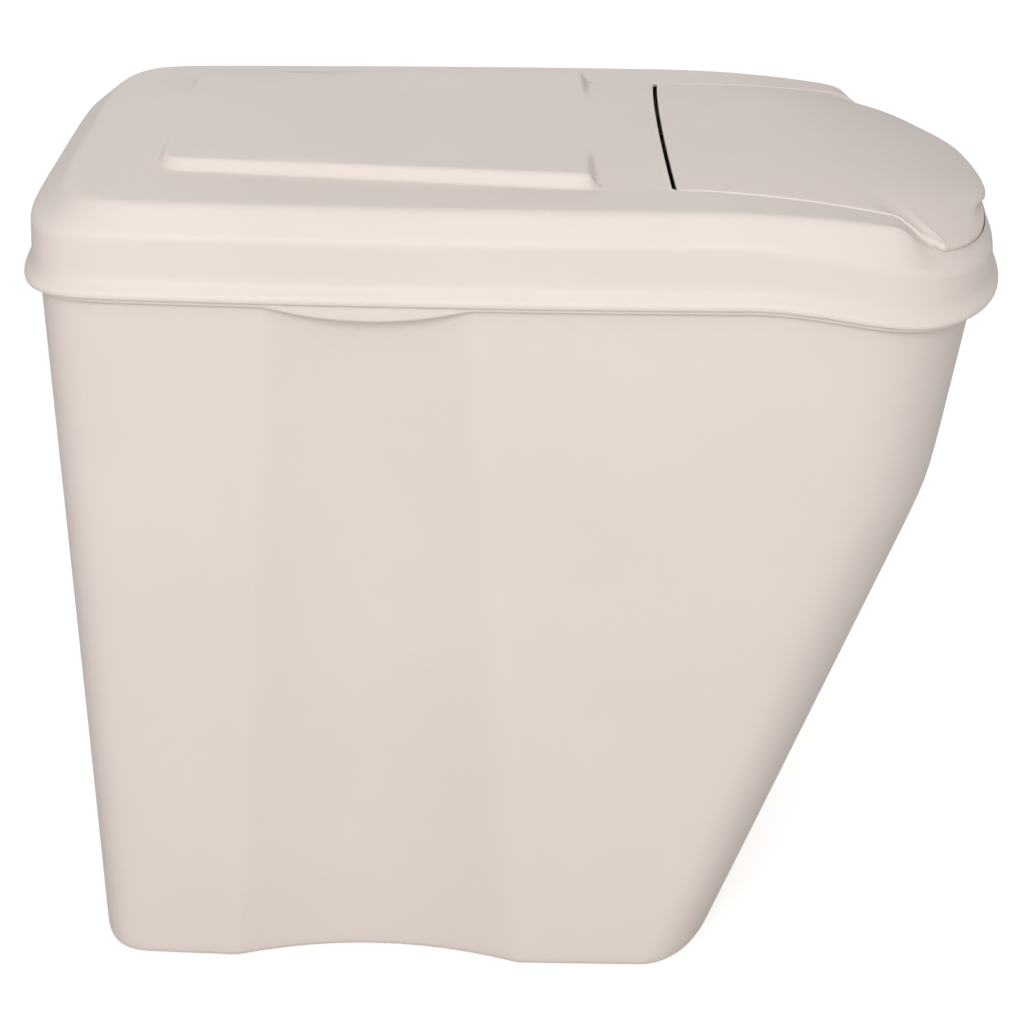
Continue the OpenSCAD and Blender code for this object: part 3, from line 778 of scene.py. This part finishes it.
def plastic(name, colour, roughness, grain=1.0):
    """Moulded plastic: faint cloudiness, a fine moulded grain, a slight sink in the walls, and painted light
    and shade that makes edges a little lighter and hollows a little darker."""
    material = bpy.data.materials.new(name)
    material.use_nodes = True
    s = Shader(material.node_tree)
    surface = s.nodes.new("ShaderNodeBsdfPrincipled")
    s.links.new(surface.outputs[0], s.nodes.new("ShaderNodeOutputMaterial").inputs[0])

    base = s.nodes.new("ShaderNodeRGB")
    base.outputs[0].default_value = (*colour, 1)
    # Pointiness drives painted light and shade: edges painted a little lighter, hollows and creases a little
    # darker
    painted_edge_shading = s.nodes.new("ShaderNodeNewGeometry").outputs["Pointiness"]
    # The base colour gets a random cloudy tone and a fine grain, then the painted edge light and hollow shade
    tone_and_painted_shading = s.shade(base.outputs[0], s.span(s.noise(9, 2), 0.985, 1.015))
    tone_and_painted_shading = s.shade(tone_and_painted_shading, s.span(s.noise(1400, 2), 0.99, 1.01))
    tone_and_painted_shading = s.shade(tone_and_painted_shading, s.span(painted_edge_shading, 0.965, 1.035, 0.46, 0.54))
    s.links.new(tone_and_painted_shading, surface.inputs["Base Color"])

    cloud = s.span(s.noise(14, 4), roughness - 0.03, roughness + 0.03)
    s.links.new(s.add(cloud, s.span(s.noise(900, 2), -0.04, 0.04)), surface.inputs["Roughness"])

    fine = s.bump(s.noise(1500, 2, 0.5), 0.25 * grain, 0.00012)
    wave = s.bump(s.noise(7, 2, 0.4), 0.12, 0.002, fine)
    s.links.new(wave, surface.inputs["Normal"])

    surface.inputs["Subsurface Weight"].default_value = 0.06
    surface.inputs["Subsurface Radius"].default_value = (0.004, 0.003, 0.002)
    surface.inputs["IOR"].default_value = 1.49
    surface.inputs["Specular IOR Level"].default_value = 0.4
    return material


def dress(obj, material):
    obj.data.materials.clear()
    obj.data.materials.append(material)


shell = plastic("moulded_shell", (0.745, 0.668, 0.625), 0.46)
for piece in (tub, lid, flap):
    dress(piece, shell)
dress(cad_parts["hinge_pins"], plastic("pin_acetal", (0.52, 0.49, 0.45), 0.35, 0.4))
rubber = plastic("seal_elastomer", (0.16, 0.155, 0.145), 0.62, 1.4)
for node_name in ("lid_seal", "flap_seal"):
    dress(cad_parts[node_name], rubber)


# ---------------------------------------------------------------- stage, light and camera, in metres
FLOOR_HALF, FLOOR_GLOW = 12, 0.62
SKY_HORIZON, SKY_OVERHEAD = 0.42, 0.66
LENS, SENSOR, DISTANCE = 88, 36, 1.415
ELEVATION, ROLL = math.radians(24), math.radians(0.75)
AIM_SHIFT = Vector((0.003, 0, 0.004))
scene = bpy.context.scene


def add_floor():
    """A pale floor. Its glow is seen by the camera only, so that it doesn't light the object from below."""
    material = bpy.data.materials.new("pale_floor")
    material.use_nodes = True
    nodes, links = material.node_tree.nodes, material.node_tree.links
    surface = nodes["Principled BSDF"]
    surface.inputs["Base Color"].default_value = (0.6, 0.595, 0.59, 1)
    surface.inputs["Roughness"].default_value = 0.9
    surface.inputs["Specular IOR Level"].default_value = 0.1
    surface.inputs["Emission Color"].default_value = (1, 0.995, 0.99, 1)
    glow = nodes.new("ShaderNodeMath")
    glow.operation = "MULTIPLY"
    glow.inputs[1].default_value = FLOOR_GLOW
    links.new(nodes.new("ShaderNodeLightPath").outputs["Is Camera Ray"], glow.inputs[0])
    links.new(glow.outputs[0], surface.inputs["Emission Strength"])

    mesh = bpy.data.meshes.new("floor")
    corners = [(x * FLOOR_HALF, y * FLOOR_HALF, 0) for x, y in ((-1, -1), (1, -1), (1, 1), (-1, 1))]
    mesh.from_pydata(corners, [], [(0, 1, 2, 3)])
    mesh.materials.append(material)
    floor = bpy.data.objects.new("floor", mesh)
    scene.collection.objects.link(floor)


def add_sky():
    """A studio that is dimmer round the horizon than overhead."""
    world = bpy.data.worlds.new("studio")
    scene.world = world
    world.use_nodes = True
    nodes, links = world.node_tree.nodes, world.node_tree.links
    split = nodes.new("ShaderNodeSeparateXYZ")
    height = nodes.new("ShaderNodeMapRange")
    height.inputs["From Min"].default_value = 0.15
    height.inputs["From Max"].default_value = 0.9
    height.inputs["To Min"].default_value = SKY_HORIZON
    height.inputs["To Max"].default_value = SKY_OVERHEAD
    links.new(nodes.new("ShaderNodeTexCoord").outputs["Generated"], split.inputs[0])
    links.new(split.outputs["Z"], height.inputs["Value"])
    links.new(height.outputs[0], nodes["Background"].inputs["Strength"])
    nodes["Background"].inputs["Color"].default_value = (1, 0.99, 0.98, 1)


def add_area(name, where, aim, size, power, colour=(1, 1, 1)):
    """A soft rectangular light at a place, turned towards its aim."""
    light = bpy.data.lights.new(name, "AREA")
    light.shape = "RECTANGLE"
    light.size, light.size_y = size
    light.energy = power
    light.color = colour
    lamp = bpy.data.objects.new(name, light)
    scene.collection.objects.link(lamp)
    lamp.location = where
    lamp.rotation_euler = (Vector(aim) - Vector(where)).to_track_quat("-Z", "Y").to_euler()


def add_camera():
    """The camera looks at the middle of the object from in front of its long side and above."""
    lowest, highest = (Vector(corner) for corner in cad_box)
    aim = (lowest + highest) / 2 - AIM_SHIFT
    back_off = Vector((0, -math.cos(ELEVATION), math.sin(ELEVATION))) * DISTANCE
    tilt = Matrix.Rotation(math.pi / 2 - ELEVATION, 4, "X") @ Matrix.Rotation(ROLL, 4, "Z")
    data = bpy.data.cameras.new("camera")
    data.sensor_width = SENSOR
    data.lens = LENS
    data.clip_end = 60
    camera = bpy.data.objects.new("camera", data)
    scene.collection.objects.link(camera)
    scene.camera = camera
    camera.matrix_world = Matrix.Translation(aim + back_off) @ tilt


add_floor()
add_sky()
add_area("key", (-0.3, -2.7, 1.55), (0, 0, 0.28), (2.2, 1.2), 50, (1, 0.985, 0.965))
add_area("fill", (2.4, -1.4, 0.9), (0, 0, 0.25), (1.8, 1.4), 4, (1, 0.97, 0.93))
add_area("back", (-0.6, 2.6, 1.1), (0, 0, 0.25), (2.4, 1.2), 6)
add_camera()
scene.view_settings.view_transform = "Standard"
scene.view_settings.look = "None"
